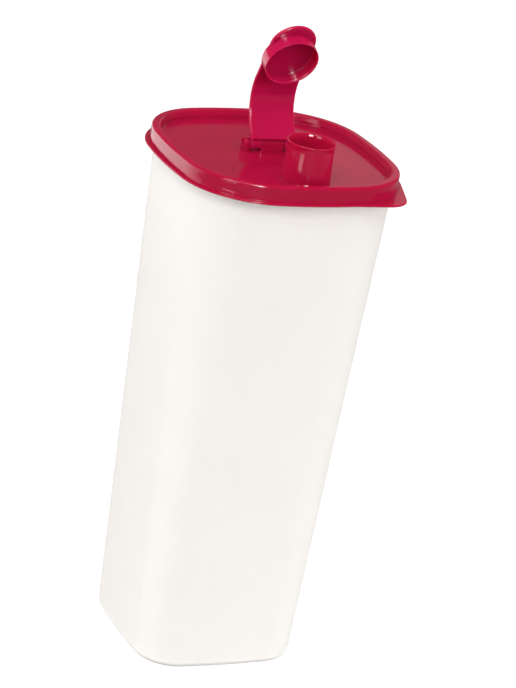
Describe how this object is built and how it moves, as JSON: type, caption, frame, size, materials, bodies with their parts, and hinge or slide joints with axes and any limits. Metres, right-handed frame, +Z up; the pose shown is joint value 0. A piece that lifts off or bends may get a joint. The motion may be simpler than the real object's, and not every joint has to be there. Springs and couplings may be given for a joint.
{
  "type": "cereal container",
  "caption": "Tall square cereal container: a tapered milky canister, a press-on lid with a pour spout, and a bent flip cap whose cup closes the spout.",
  "frame": {"origin": "centre of the foot, on the surface that the container stands on", "axes": "+Z up along the canister; -Y towards the pour spout, the front; +X to the right seen from the front"},
  "size_m": [0.1084, 0.1084, 0.3015],
  "materials": {
    "milky": "satin, translucent milky white",
    "raspberry": "glossy raspberry red"
  },
  "bodies": {
    "canister": {"canister": "milky"},
    "lid": {"lid": "raspberry"},
    "flip_cap": {"flip_cap": "raspberry"}
  },
  "joints": [
    {"name": "lid_lift", "type": "slide", "parent": "canister", "child": "lid", "axis": [0, 0, 1], "range_m": [0, 0.06]},
    {"name": "cap_hinge", "type": "hinge", "parent": "lid", "child": "flip_cap", "pos_m": [0, 0.0054, 0.2434], "axis": [-1, 0, 0], "range_deg": [-65, 76]}
  ]
}
